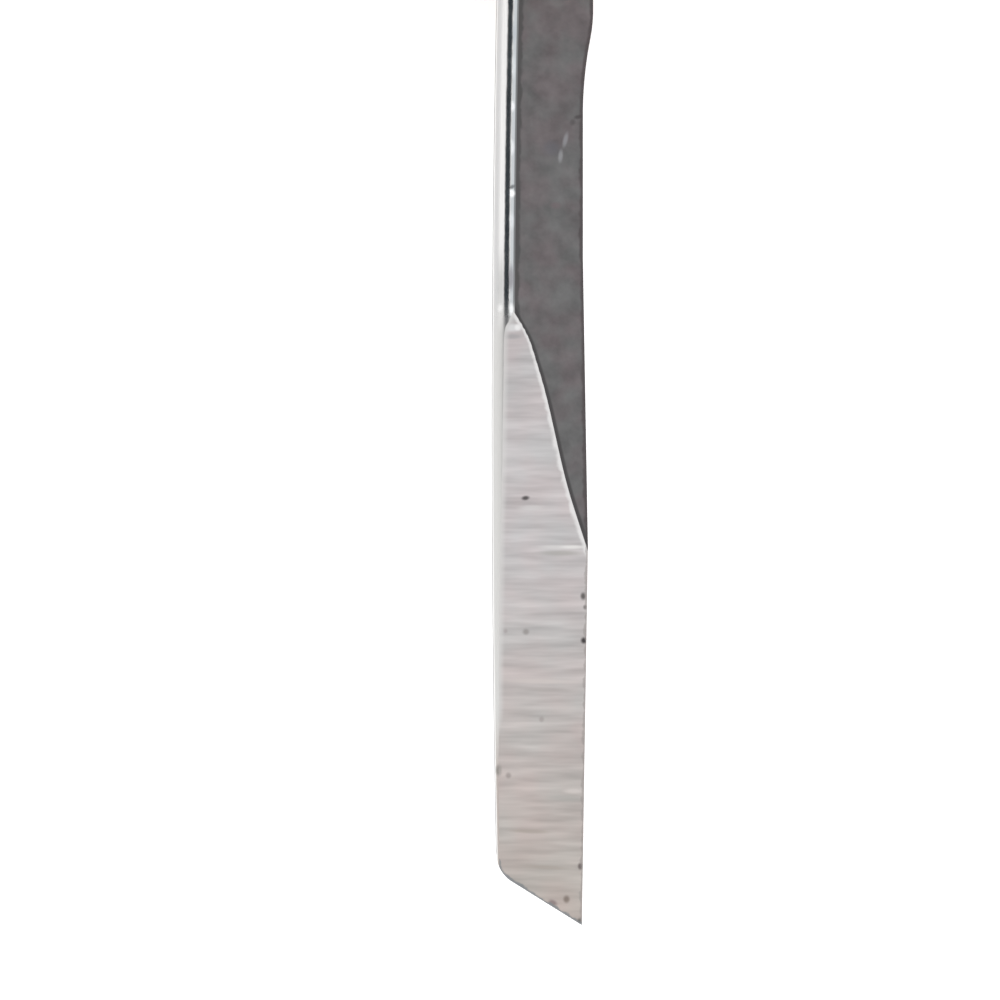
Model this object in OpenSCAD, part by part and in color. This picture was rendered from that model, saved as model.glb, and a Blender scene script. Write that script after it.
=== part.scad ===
// Chip carving knife: a skew-fronted steel blade on a stick tang, bedded
// between two glued handle halves behind a pressed-on ferrule.
// The knife lies on the lower flat of its handle. Y runs along the knife with
// the tip towards -Y, the cutting edge faces +X and the ground face looks up.

/* [Blade] */
// Reach of the blade from the front of the ferrule to its tip
blade_reach = 62; // [54:0.5:75]
// Width of the stock where it leaves the handle
stock_w = 6.05; // [5.4:0.05:7]
// Thickness of the stock behind its crowned spine
spine_t = 2.4; // [2.1:0.1:3]
// Thickness of the stock along its thin side
thin_side_t = 1.5; // [1.3:0.05:1.8]
// Outward bow of the spine over the reach of the blade
spine_bow = 0.37; // [0.1:0.01:0.8]
// Radius of the crowned spine
crown_r = 1.15; // [0.95:0.05:1.4]
// Angle that the crown turns from the middle of the spine to its land, each way
crown_turn = 60; // [50:1:65]
// Width of the crown and its land together, up to the stock face
land_w = 1.35; // [1.1:0.05:1.8]
// Length of full-width stock in front of the ferrule
shoulder_l = 4; // [2:0.1:8]
// Rounding of the shoulder where it falls into the neck relief
shoulder_r = 9.5; // [4:0.5:14]
// Depth of the neck relief on the thin side
neck_depth = 0.65; // [0.3:0.05:1]
// Wheel radius of the neck relief
relief_r = 25.5; // [12:0.5:30]
// Length of parallel neck behind the widening towards the heel
neck_l = 9; // [4:0.5:14]

/* [Edge and grind] */
// Length of the cutting edge from heel to tip
edge_l = 24; // [18:0.5:28]
// Distance from the tip at which the ground face starts on the spine side
grind_l = 38.6; // [32:0.1:44]
// Height of the ground face over the middle plane at the front end
front_face_h = 0.56; // [0.4:0.01:0.8]
// Inset of the heel from the thin side of the stock
heel_inset = 0.33; // [0.1:0.01:0.6]
// Inset of the tip from the thin side of the stock
tip_inset = 0.71; // [0.4:0.01:1.2]
// Skew of the front end from square
front_skew = 32; // [22:1:45]
// Rounding of the corner between spine and front end
corner_r = 2.1; // [0.8:0.05:2.6]
// Distance in front of the heel at which the ground face reaches the edge
border_lead = 0.3; // [0.1:0.05:1]
// Thickness left at the cutting edge
edge_t = 0.03; // [0.02:0.01:0.1]
// Angle of the edge bevel on the underside
bevel_angle = 20; // [16:0.5:26]
// Wheel radius at which the bevel runs out behind the heel
runout_r = 9; // [5:0.5:14]

/* [Tang] */
// Length of the tang inside the handle
tang_l = 76; // [60:1:90]
// Width of the tang
tang_w = 4.4; // [3.6:0.1:5]
// Thickness of the tang
tang_t = 1.5; // [1.2:0.05:1.5]
// Side play of the tang in its groove
tang_gap = 0.15; // [0.05:0.05:0.3]
// End play behind the tang
tang_end_gap = 1; // [0.5:0.1:2]

/* [Handle] */
// Length from the front of the ferrule to the butt
handle_l = 110; // [100:1:125]
// Diameter of the handle right behind the ferrule
front_d = 16.8; // [16.4:0.1:18]
// Diameter of the handle at its belly
belly_d = 23; // [20:0.1:26]
// Distance of the belly from the front of the ferrule
belly_at = 66; // [50:1:80]
// Diameter of the handle where it rounds into the butt
butt_d = 18.8; // [17:0.1:20]
// Radius of the domed butt face
dome_r = 26; // [20:1:40]
// Radius of the rounding between barrel and dome
butt_round_r = 13.5; // [11:0.5:15]
// Length of the butt rounding in front of its centre
butt_round_reach = 12.6; // [12:0.1:13]
// Distance between the upper and lower flat
flat_h = 16; // [15:0.1:16.2]

/* [Ferrule] */
// Length of the ferrule and of the handle spigot in it
ferrule_l = 11; // [8:0.5:15]
// Outside diameter of the ferrule
ferrule_d = 14; // [13:0.1:15]
// Wall of the ferrule
ferrule_wall = 1.1; // [0.8:0.05:1.5]
// Radius of the rolled bead at the back of the ferrule
bead_r = 0.9; // [0.7:0.05:1.1]
// How far the bead stands proud of the ferrule
bead_rise = 0.55; // [0.3:0.05:0.6]
// Chamfer at the front of the ferrule
ferrule_chamfer = 0.5; // [0.3:0.05:0.7]
// Radial glue gap between spigot and ferrule
glue_gap = 0.03; // [0.01:0.01:0.1]

/* [Pins] */
// Diameter of the tang pins
pin_d = 3; // [2:0.1:3.4]
// Distance of the front pin from the front of the ferrule
front_pin_at = 27; // [20:0.5:36]
// Distance of the rear pin from the end of the tang
rear_pin_inset = 12; // [8:0.5:20]
// Radial play of a pin in the tang
pin_gap = 0.1; // [0.05:0.01:0.2]

/* [Hidden] */
$fn = 96;
// Overshoot of cutting shapes past the faces that they cut
over = 1;
// Segments of a drawn arc
arc_n = 12;

// Place of the knife: its box is centred over the origin and rests on Z = 0
ferrule_y = (blade_reach - handle_l) / 2;
axis_z = flat_h / 2;

// Spine: one shallow arc over the whole reach
bow_r = (blade_reach * blade_reach / 4 + spine_bow * spine_bow) / (2 * spine_bow);
bow_centre = [bow_r - spine_bow - stock_w / 2, -blade_reach / 2];
bow_half_turn = asin((blade_reach / 2 + over) / bow_r);
bow_fn = 1440;
function spine_x(y) = bow_centre[0] - sqrt(bow_r * bow_r - pow(y - bow_centre[1], 2));

// Stock section, measured from the spine inwards
land_start = [crown_r * (1 - cos(crown_turn)), crown_r * sin(crown_turn)];
land_end = [land_w, spine_t / 2];
land_fall = atan2(land_end[1] - land_start[1], land_end[0] - land_start[0]);
crown_block = land_start[0] + crown_r * sin(90 - crown_turn - land_fall) * cos(land_fall);
face_slope = (spine_t - thin_side_t) / 2 / (stock_w - land_w);
section_w = stock_w + 2 * spine_bow + over;
function stock_h(u) = spine_t / 2 - face_slope * (u - land_w);

// Plan of the blade, with the front of the ferrule at Y = 0
thin_x = stock_w / 2;
neck_x = thin_x - neck_depth;
shoulder_turn = acos(1 - neck_depth / (shoulder_r + relief_r));
neck_y = -shoulder_l - (shoulder_r + relief_r) * sin(shoulder_turn);
heel = [thin_x - heel_inset, edge_l - blade_reach];
tip = [thin_x - tip_inset, -blade_reach];
front_spine_x = spine_x(-blade_reach + stock_w * tan(front_skew));
corner_exit = 10;
corner_c = [
    front_spine_x + corner_r,
    tip[1] + (corner_r - (front_spine_x + corner_r - tip[0]) * sin(front_skew)) / cos(front_skew)
];
corner_arc = arc(corner_c, corner_r, 270 - front_skew, 180 + corner_exit);
corner_end = corner_arc[arc_n];
plan_left = -stock_w;

// Ground face: a plane through the start of the grind, a point close to the heel and the front end
start_u = land_w;
start = [spine_x(grind_l - blade_reach) + start_u, grind_l - blade_reach];
start_h = stock_h(start_u);
border_end = heel + (tip - heel) * border_lead / norm(tip - heel);
border_h = stock_h(border_end[0] - spine_x(border_end[1]));
taper = (start_h - front_face_h) / (start[1] - corner_c[1]);
fall = (border_h - start_h + taper * (start[1] - border_end[1])) / (border_end[0] - start[0]);
taper_angle = atan(taper);
fall_angle = -atan(fall * cos(taper_angle));
function face_h(p) = start_h + fall * (p[0] - start[0]) + taper * (p[1] - start[1]);

// Edge bevel: a plane that leaves the edge's thickness under the ground face
tip_h = face_h(tip) - edge_t;
heel_h = face_h(heel) - edge_t;
edge_lean = atan((heel[0] - tip[0]) / (heel[1] - tip[1]));
edge_plan_l = norm(heel - tip);
edge_rise = atan((heel_h - tip_h) / edge_plan_l);
edge_true_l = norm([edge_plan_l, heel_h - tip_h]);
bevel_depth = spine_t + over;
runout_turn = acos(1 - min(1, bevel_depth / runout_r));

// Handle barrel: two arcs that meet at the belly
front_r = front_d / 2;
belly_r = belly_d / 2;
butt_r = butt_d / 2;
function barrel_arc_r(run, drop) = (run * run + drop * drop) / (2 * drop);
front_arc_r = barrel_arc_r(belly_at - ferrule_l, belly_r - front_r);
rear_arc_r = barrel_arc_r(handle_l - belly_at, belly_r - butt_r);
ferrule_r = ferrule_d / 2;
bore_r = ferrule_r - ferrule_wall;
spigot_r = bore_r - glue_gap;
pin_r = pin_d / 2;
rear_pin_at = tang_l - rear_pin_inset;

function arc(c, r, a0, a1) =
    [for (i = [0:arc_n]) let (a = a0 + (a1 - a0) * i / arc_n) c + r * [cos(a), sin(a)]];

// Moves a piece from the knife's own axis to its place over the origin
module placed() {
    translate([0, ferrule_y, axis_z])
        children();
}

// Half of the stock section is a line for the land and a line for the face.
// The crown closes it towards the spine.
module stock_section() {
    land_out = land_start - over * [cos(land_fall), sin(land_fall)];
    edge_out = [section_w, stock_h(section_w)];
    intersection() {
        polygon([
            land_out, land_end, edge_out,
            [edge_out[0], -edge_out[1]], [land_end[0], -land_end[1]], [land_out[0], -land_out[1]]
        ]);
        union() {
            translate([crown_r, 0])
                circle(r = crown_r);
            translate([crown_block, -spine_t])
                square([section_w, 2 * spine_t]);
        }
    }
}

// The stock, bent to the bow of its spine
module bowed_stock() {
    translate([bow_centre[0], bow_centre[1], 0])
        rotate([0, 0, 180 - bow_half_turn])
            rotate_extrude(angle = 2 * bow_half_turn, $fn = bow_fn)
                translate([bow_r, 0])
                    mirror([1, 0])
                        stock_section();
}

module blade_plan() {
    shoulder = arc([thin_x - shoulder_r, -shoulder_l], shoulder_r, 0, -shoulder_turn);
    relief = arc([neck_x + relief_r, neck_y], relief_r, 180 - shoulder_turn, 180);
    polygon(concat(
        [[plan_left, 0], [thin_x, 0]],
        shoulder,
        [for (i = [1:arc_n]) relief[i]],
        [[neck_x, neck_y - neck_l], heel, tip],
        corner_arc,
        [[plan_left, corner_end[1] + (corner_end[0] - plan_left) / tan(corner_exit)]]
    ));
}

// Everything above the ground face
module face_cut() {
    translate([start[0], start[1], start_h])
        rotate([taper_angle, 0, 0])
            rotate([0, fall_angle, 0])
                translate([-stock_w, -2 * grind_l, 0])
                    cube([3 * stock_w, 3 * grind_l, spine_t]);
}

// Everything under the edge bevel, running out behind the heel on the wheel's radius
module bevel_cut() {
    runout = arc([edge_true_l, -runout_r], runout_r, 90, 90 - runout_turn);
    translate([tip[0], tip[1], tip_h])
        rotate([0, 0, -edge_lean])
            rotate([edge_rise, 0, 0])
                rotate([0, -bevel_angle, 0])
                    translate([-2 * stock_w, 0, 0])
                        rotate([90, 0, 90])
                            linear_extrude(3 * stock_w)
                                polygon(concat(
                                    [[-blade_reach, -runout_r], [-blade_reach, 0]],
                                    runout,
                                    [[runout[arc_n][0], -runout_r]]
                                ));
}

module tang() {
    difference() {
        union() {
            translate([-tang_w / 2, -over, -tang_t / 2])
                cube([tang_w, over + tang_l - tang_w / 2, tang_t]);
            translate([0, tang_l - tang_w / 2, -tang_t / 2])
                cylinder(d = tang_w, h = tang_t);
        }
        for (at = [front_pin_at, rear_pin_at])
            translate([0, at, -tang_t])
                cylinder(r = pin_r + pin_gap, h = 2 * tang_t);
    }
}

module blade() {
    color("#b9b5b4")
        placed() {
            difference() {
                intersection() {
                    bowed_stock();
                    translate([0, 0, -spine_t])
                        linear_extrude(2 * spine_t)
                            blade_plan();
                }
                face_cut();
                bevel_cut();
            }
            tang();
        }
}

// Outline of the turned handle from its axis outwards, spigot included
module handle_profile() {
    square([spigot_r, ferrule_l + over]);
    intersection() {
        union() {
            intersection() {
                translate([belly_r - front_arc_r, belly_at])
                    circle(r = front_arc_r, $fn = bow_fn);
                translate([0, ferrule_l])
                    square([belly_d, belly_at - ferrule_l]);
            }
            intersection() {
                translate([belly_r - rear_arc_r, belly_at])
                    circle(r = rear_arc_r, $fn = bow_fn);
                translate([0, belly_at])
                    square([belly_d, handle_l - belly_at]);
            }
        }
        union() {
            translate([0, handle_l - dome_r])
                circle(r = dome_r);
            square([belly_d, handle_l - dome_r]);
        }
        union() {
            translate([0, handle_l - butt_round_reach])
                circle(r = butt_round_r);
            square([belly_d, handle_l - butt_round_reach]);
        }
    }
}

module tang_groove() {
    width = tang_w + 2 * tang_gap;
    translate([-width / 2, -over, -tang_t / 2])
        cube([width, over + tang_l + tang_end_gap, tang_t]);
}

// One half of the handle: side is 1 for the upper half and -1 for the lower
module handle_half(side) {
    difference() {
        intersection() {
            rotate([-90, 0, 0])
                rotate_extrude()
                    handle_profile();
            translate([-belly_d, -over, side > 0 ? 0 : -flat_h / 2])
                cube([2 * belly_d, handle_l + 2 * over, flat_h / 2]);
        }
        tang_groove();
        for (at = [front_pin_at, rear_pin_at])
            translate([0, at, -flat_h])
                cylinder(r = pin_r, h = 2 * flat_h);
    }
}

module handle_upper() {
    color("#c79a63")
        placed()
            handle_half(1);
}

module handle_lower() {
    color("#b98a55")
        placed()
            handle_half(-1);
}

module ferrule() {
    color("#c9a24a")
        placed()
            rotate([-90, 0, 0])
                rotate_extrude() {
                    polygon([
                        [bore_r, 0],
                        [ferrule_r - ferrule_chamfer, 0],
                        [ferrule_r, ferrule_chamfer],
                        [ferrule_r, ferrule_l],
                        [bore_r, ferrule_l]
                    ]);
                    translate([ferrule_r + bead_rise - bead_r, ferrule_l - bead_r])
                        circle(r = bead_r);
                }
}

module tang_pin(at) {
    color("#c9a24a")
        placed()
            translate([0, at, -flat_h / 2])
                cylinder(r = pin_r, h = flat_h);
}

module front_pin() {
    tang_pin(front_pin_at);
}

module rear_pin() {
    tang_pin(rear_pin_at);
}

blade();
handle_upper();
handle_lower();
ferrule();
front_pin();
rear_pin();
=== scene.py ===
import math

import bmesh
import bpy
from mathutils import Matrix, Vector


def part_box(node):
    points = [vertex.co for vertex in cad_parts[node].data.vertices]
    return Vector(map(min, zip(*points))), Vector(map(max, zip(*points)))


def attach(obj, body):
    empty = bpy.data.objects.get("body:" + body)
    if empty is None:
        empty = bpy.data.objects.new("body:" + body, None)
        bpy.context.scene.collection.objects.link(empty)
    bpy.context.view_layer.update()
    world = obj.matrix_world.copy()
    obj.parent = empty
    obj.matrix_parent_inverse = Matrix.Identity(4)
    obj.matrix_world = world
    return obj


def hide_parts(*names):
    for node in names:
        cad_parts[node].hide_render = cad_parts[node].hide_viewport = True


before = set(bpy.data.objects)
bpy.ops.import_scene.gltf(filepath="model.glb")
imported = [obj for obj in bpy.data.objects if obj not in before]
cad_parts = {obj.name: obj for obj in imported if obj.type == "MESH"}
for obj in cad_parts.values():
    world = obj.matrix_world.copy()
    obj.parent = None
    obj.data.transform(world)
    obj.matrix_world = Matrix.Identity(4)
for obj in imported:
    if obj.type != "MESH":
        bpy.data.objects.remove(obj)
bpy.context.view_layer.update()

# Blade
# One strip of tool steel, bowed along its crowned spine and relieved on the wheel at the neck.
# The upper face is ground flat towards the skewed front end, the underside carries the edge bevel,
# and a stick tang of the same steel runs back into the handle.
MM = 0.001
blade_low, blade_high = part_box("blade")
ferrule_low, ferrule_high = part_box("ferrule")
tip_y = blade_low.y
shoulder_y = ferrule_low.y
axis_z = (blade_low.z + blade_high.z) / 2
thin_x = blade_high.x
stock_w = 2 * thin_x
spine_t = blade_high.z - blade_low.z
thin_side_t = 1.5 * MM
spine_bow = 0.37 * MM
crown_w = 1.44 * MM
land_w = 1.35 * MM
shoulder_l = 4 * MM
shoulder_r = 9.5 * MM
neck_depth = 0.65 * MM
neck_l = 9 * MM
relief_r = 25.5 * MM
edge_l = 24 * MM
grind_l = 38.6 * MM
front_face_h = 0.56 * MM
heel_inset = 0.33 * MM
tip_inset = 0.71 * MM
front_skew = math.radians(32)
corner_r = 2.1 * MM
border_lead = 0.3 * MM
edge_t = 0.03 * MM
bevel_angle = math.radians(20)
runout_r = 9 * MM
tang_w = 4.4 * MM
tang_t = 1.5 * MM
# A little short of half the width, so that the two rounded corners stay apart
tang_end_r = tang_w / 2 - 0.01 * MM
tang_end_y = blade_high.y
pin_hole_r = 1.6 * MM
pin_sides = 48
wheel_sides = 512
# How far blanks and tools run past the finished piece, and how close two places count as one
spare = 2 * MM
hair = 1e-7

reach = shoulder_y - tip_y
bow_r = (reach ** 2 / 4 + spine_bow ** 2) / (2 * spine_bow)
bow_centre = Vector((bow_r - spine_bow - stock_w / 2, (shoulder_y + tip_y) / 2, axis_z))
face_slope = (spine_t - thin_side_t) / 2 / (stock_w - land_w)


def spine_x(y):
    """X of the spine's outline."""
    return bow_centre.x - math.sqrt(bow_r ** 2 - (y - bow_centre.y) ** 2)


def stock_height(x, y):
    """Height of the unground stock's upper face above the blade's middle."""
    return spine_t / 2 - face_slope * (x - spine_x(y) - land_w)


heel = Vector((thin_x - heel_inset, tip_y + edge_l))
tip = Vector((thin_x - tip_inset, tip_y))
neck_x = thin_x - neck_depth
shoulder_turn = math.acos(1 - neck_depth / (shoulder_r + relief_r))
round_y = shoulder_y - shoulder_l
relief_y = round_y - shoulder_r * math.sin(shoulder_turn)
neck_y = relief_y - relief_r * math.sin(shoulder_turn)
front_out = Vector((-math.sin(front_skew), -math.cos(front_skew)))
corner_x = spine_x(tip_y + stock_w * math.tan(front_skew)) + corner_r
corner_y = tip_y + (corner_r - (corner_x - tip.x) * math.sin(front_skew)) / math.cos(front_skew)
grind_y = tip_y + grind_l
grind_x = spine_x(grind_y) + land_w
grind_h = spine_t / 2
border_end = heel + (tip - heel).normalized() * border_lead
border_h = stock_height(border_end.x, border_end.y)
taper = (grind_h - front_face_h) / (grind_y - corner_y)
fall = (border_h - grind_h + taper * (grind_y - border_end.y)) / (border_end.x - grind_x)
# The grind was held by hand: in its first half the face dips by a few hundredths, so that its upper
# border swings out, and right behind its start it bites deeper into the crown
dip_h = 0.032 * MM
dip_start = -1.2 * MM
dip_full = 2 * MM
dip_easing = 3.5 * MM
dip_end = 12 * MM
bite = 1.5
bite_start = 0.1 * MM
bite_full = 0.9 * MM
bite_l = 2.5 * MM


def ease(value, start, end):
    """Share from 0 at the start to 1 at the end, without a kink at either."""
    share = min(max((value - start) / (end - start), 0), 1)
    return share * share * (3 - 2 * share)


def ground_height(x, y):
    """Height of the ground face above the blade's middle."""
    past = grind_y - y
    dip = dip_h * ease(past, dip_start, dip_full) * (1 - ease(past, dip_easing, dip_end))
    face = grind_h + fall * (x - grind_x) - taper * past - dip
    depth = max(stock_height(x, y) - face, 0)
    bitten = bite * ease(past, bite_start, bite_full) * math.exp(-max(past, 0) / bite_l)
    return face - bitten * depth


def thin_side_x(y):
    """X of the side with the cutting edge: shoulder, relief, neck, widening and edge."""
    if y > round_y:
        return thin_x
    if y > relief_y:
        return thin_x - shoulder_r + math.sqrt(shoulder_r ** 2 - (y - round_y) ** 2)
    if y > neck_y:
        return neck_x + relief_r - math.sqrt(relief_r ** 2 - (y - neck_y) ** 2)
    if y > heel.y:
        return neck_x + (heel.x - neck_x) * max((neck_y - neck_l - y) / (neck_y - neck_l - heel.y), 0)
    return heel.x + (tip.x - heel.x) * (heel.y - y) / edge_l


def front_gap(x, y):
    """Distance to the skewed front end and its rounded corner."""
    gap = -front_out.dot(Vector((x, y)) - tip)
    from_corner = Vector((x - corner_x, y - corner_y))
    along_front = Vector((-front_out.y, front_out.x))
    in_sector = from_corner.x < 0 and from_corner.y < 0 and from_corner.dot(along_front) < 0
    if in_sector and from_corner.dot(front_out) < corner_r:
        gap = min(gap, corner_r - from_corner.length)
    return gap


def work_on(piece):
    """Selects one piece alone and makes it the active one."""
    bpy.ops.object.select_all(action="DESELECT")
    piece.select_set(True)
    bpy.context.view_layer.objects.active = piece


def new_piece(name):
    """Names what an operator has just added, and works on it."""
    piece = bpy.context.active_object
    piece.name = name
    piece.data.name = name
    work_on(piece)
    return piece


def pick(piece, kind, test):
    """Selects in edit mode the vertices, edges or faces whose middle passes the test."""
    bpy.ops.mesh.select_mode(type=kind)
    bpy.ops.mesh.select_all(action="DESELECT")
    mesh = bmesh.from_edit_mesh(piece.data)
    for item in {"VERT": mesh.verts, "EDGE": mesh.edges, "FACE": mesh.faces}[kind]:
        if kind == "VERT":
            middle = item.co
        elif kind == "EDGE":
            middle = (item.verts[0].co + item.verts[1].co) / 2
        else:
            middle = item.calc_center_median()
        item.select_set(test(middle))
    mesh.select_flush_mode()
    bmesh.update_edit_mesh(piece.data)


def trim(piece, point, outward):
    """Cuts off what lies beyond a plane and closes the cut."""
    work_on(piece)
    bpy.ops.object.mode_set(mode="EDIT")
    bpy.ops.mesh.select_all(action="SELECT")
    bpy.ops.mesh.bisect(
        plane_co=point, plane_no=outward, use_fill=True, clear_outer=True, threshold=hair
    )
    bpy.ops.object.mode_set(mode="OBJECT")


def cut(piece, tool):
    """Takes a tool solid away from a piece, and keeps the tool's own finish on the cut."""
    work_on(piece)
    step = piece.modifiers.new("cut", "BOOLEAN")
    step.operation = "DIFFERENCE"
    step.solver = "EXACT"
    step.material_mode = "TRANSFER"
    step.object = tool
    bpy.ops.object.modifier_apply(modifier=step.name)
    bpy.data.objects.remove(tool)


def drill_for_pins(piece, hole_r, depth):
    """Drills a piece from top to bottom at both pins."""
    for pin in ("front_pin", "rear_pin"):
        pin_low, pin_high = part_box(pin)
        bpy.ops.object.select_all(action="DESELECT")
        bpy.ops.mesh.primitive_cylinder_add(
            vertices=pin_sides, radius=hole_r, depth=depth,
            location=(0, (pin_low.y + pin_high.y) / 2, axis_z),
        )
        drill = new_piece("pin_drill")
        bpy.ops.object.transform_apply(location=True, rotation=True, scale=True)
        cut(piece, drill)


def linear(colour):
    """Linear RGBA of an sRGB hex colour."""
    parts = [int(colour[i:i + 2], 16) / 255 for i in (1, 3, 5)]
    return [p / 12.92 if p <= 0.04045 else ((p + 0.055) / 1.055) ** 2.4 for p in parts] + [1]


def add_node(tree, kind, inputs=None, **settings):
    """Adds a node with its settings. An input is a value, or the socket that feeds it."""
    made = tree.nodes.new(kind)
    for name, value in settings.items():
        setattr(made, name, value)
    for socket, value in (inputs or {}).items():
        if isinstance(value, bpy.types.NodeSocket):
            tree.links.new(value, made.inputs[socket])
        else:
            made.inputs[socket].default_value = value
    return made


def new_material(name):
    """A new material, its nodes and its surface shader."""
    material = bpy.data.materials.new(name)
    material.use_nodes = True
    return material, material.node_tree, material.node_tree.nodes["Principled BSDF"]


# Sockets of a Mix node: the colour beneath, the colour laid over it and the result
UNDER, OVER, MIXED = 6, 7, 2


def add_marks(tree, place, colour, marks):
    """Lays soft-edged marks over a colour. Each has its place across and back from the tip and its half
    width and half length in millimetres, its lean in degrees, its tone, and how strongly it covers."""
    for across, back, half_w, half_l, lean, tone, cover in marks:
        x = tip.x + across * MM
        y = tip.y + back * MM
        height = min(ground_height(x, y), stock_height(x, y))
        spot = add_node(
            tree, "ShaderNodeMapping",
            {
                "Vector": place, "Location": (x, y, axis_z + height),
                "Rotation": (0, 0, math.radians(lean)), "Scale": (half_w * MM, half_l * MM, MM),
            },
            vector_type="TEXTURE",
        )
        reached = add_node(tree, "ShaderNodeVectorMath", {0: spot.outputs[0]}, operation="LENGTH")
        mask = add_node(
            tree, "ShaderNodeMapRange",
            {
                "Value": reached.outputs["Value"], "From Min": 1, "From Max": 0.25,
                "To Min": 0, "To Max": cover,
            },
            interpolation_type="SMOOTHSTEP",
        )
        colour = add_node(
            tree, "ShaderNodeMix", {"Factor": mask.outputs[0], UNDER: colour, OVER: linear(tone)},
            data_type="RGBA",
        ).outputs[MIXED]
    return colour


def add_line(tree, gap, start, end, colour, tone, cover=1):
    """Lays a tone over a colour, in full where the gap is at its start and fading to its end."""
    mask = add_node(
        tree, "ShaderNodeMapRange",
        {"Value": gap, "From Min": start, "From Max": end, "To Min": cover, "To Max": 0},
        interpolation_type="SMOOTHSTEP",
    )
    return add_node(
        tree, "ShaderNodeMix", {"Factor": mask.outputs[0], UNDER: colour, OVER: linear(tone)},
        data_type="RGBA",
    ).outputs[MIXED]


# Ground tool steel: wheel lines run across the blade, the tint warms towards the front end, a painted
# highlight runs along the border against the stock, and painted shade darkens the edges, which carry a few
# nicks and specks.
# The lines of single grits are too fine to show as colour, so they are in the relief alone
ground_steel, tree, surface = new_material("wheel_ground_tool_steel")
place = add_node(tree, "ShaderNodeTexCoord").outputs["Object"]
lines_at = add_node(
    tree, "ShaderNodeMapping", {"Vector": place, "Scale": (1 / (4.5 * MM), 1 / (0.5 * MM), 1 / (4.5 * MM))}
)
lines = add_node(
    tree, "ShaderNodeTexNoise", {"Vector": lines_at.outputs[0], "Scale": 1, "Detail": 2.2, "Roughness": 0.5}
)
blots = add_node(tree, "ShaderNodeTexNoise", {"Vector": place, "Scale": 1 / (3 * MM), "Detail": 2})
along = add_node(tree, "ShaderNodeSeparateXYZ", {0: place})
warmth = add_node(
    tree, "ShaderNodeMapRange",
    {"Value": along.outputs["Y"], "From Min": heel.y, "From Max": tip_y, "To Min": 0, "To Max": 1},
)
tint = add_node(
    tree, "ShaderNodeMix", {"Factor": warmth.outputs[0], UNDER: linear("#c3bfc0"), OVER: linear("#b8afa9")},
    data_type="RGBA",
)
cast_share = add_node(
    tree, "ShaderNodeMapRange", {"Value": blots.outputs["Fac"], "From Min": 0.35, "From Max": 0.65}
)
cast = add_node(
    tree, "ShaderNodeMix",
    {"Factor": cast_share.outputs[0], UNDER: linear("#fcf7f6"), OVER: linear("#f8faf9")},
    data_type="RGBA",
)
tinted = add_node(
    tree, "ShaderNodeMix", {"Factor": 1, UNDER: tint.outputs[MIXED], OVER: cast.outputs[MIXED]},
    data_type="RGBA", blend_type="MULTIPLY",
)
shade = add_node(
    tree, "ShaderNodeMapRange",
    {"Value": lines.outputs["Fac"], "From Min": 0.25, "From Max": 0.75, "To Min": 0.85, "To Max": 1.18},
)
colour = add_node(
    tree, "ShaderNodeVectorMath", {0: tinted.outputs[MIXED], "Scale": shade.outputs[0]}, operation="SCALE"
).outputs[0]
colour = add_marks(tree, place, colour, (
    # Painted highlight and painted shade where the grind starts, below the crown's reflected line
    (-4.46, 38.42, 0.5, 0.25, 0, "#aeacad", 0.6),
    (-4.46, 37.85, 0.85, 0.36, 0, "#dcdbdb", 0.8),
    (-4.05, 37.88, 0.32, 0.3, 20, "#f0eeee", 0.8),
    (-4.4, 37.3, 0.9, 0.24, 0, "#a5a3a4", 0.7),
    # A bright streak with a darker one just below it: painted highlight and painted shade
    (-1.3, 23.97, 2.2, 0.2, 0, "#dcd9d7", 0.55),
    (-0.6, 23.97, 1.1, 0.16, 0, "#ebe9e6", 0.5),
    (-1.36, 23.58, 2, 0.26, 0, "#a7a4a0", 0.7),
    (-3.2, 26.45, 1.2, 0.24, 3, "#d3d0cf", 0.5),
    # The same kind of pair: painted highlight and painted shade
    (-0.53, 8.5, 0.9, 0.24, 0, "#d3cbc7", 0.6),
    (-1.04, 8.05, 1.6, 0.34, -4, "#aaa9a5", 0.5),
    # The same kind of pair: painted highlight and painted shade
    (-2.63, 15.47, 3.4, 0.22, -1, "#d0c7c3", 0.6),
    (-2.4, 14.95, 2.6, 0.24, -3, "#a9a29f", 0.5),
    (-3.26, 5.96, 1.8, 0.2, -2, "#a69d95", 0.7),
    (-2.31, 3.68, 1.9, 0.2, -3, "#a69d95", 0.6),
    (-3.58, 27.07, 0.36, 0.21, 8, "#4e4a4b", 0.9),
    (-3.55, 18.6, 0.3, 0.28, 0, "#8f8a87", 0.7),
    (-4.85, 18.65, 0.2, 0.2, 0, "#a2999a", 0.6),
    (-2.56, 13.06, 0.24, 0.26, 0, "#9d9593", 0.6),
    (-4.66, 9.5, 0.26, 0.28, 0, "#8f8683", 0.6),
    (-5.24, 9.83, 0.24, 0.5, 0, "#8a8883", 0.5),
    (0.08, 20.86, 0.26, 0.34, 0, "#5a5655", 0.9),
    (0.2, 20.16, 0.18, 0.22, 0, "#6f6b6a", 0.8),
    (0.12, 18.05, 0.28, 0.3, 0, "#3f3b3c", 0.95),
    (-0.1, 3.74, 0.24, 0.32, 0, "#6a6160", 0.9),
    (-0.98, 1.65, 0.3, 0.34, 0, "#7b6f67", 0.8),
    (-1.85, 1.42, 0.42, 0.28, -25, "#877878", 0.8),
    (-0.08, 0.22, 0.38, 0.34, 0, "#5f5e5d", 0.9),
))
breaks = add_node(tree, "ShaderNodeTexNoise", {"Vector": place, "Scale": 1 / (0.6 * MM), "Detail": 2})
wander = add_node(
    tree, "ShaderNodeMapRange",
    {"Value": breaks.outputs["Fac"], "From Min": 0.3, "From Max": 0.7, "To Min": -0.1, "To Max": 0.1},
)
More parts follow.
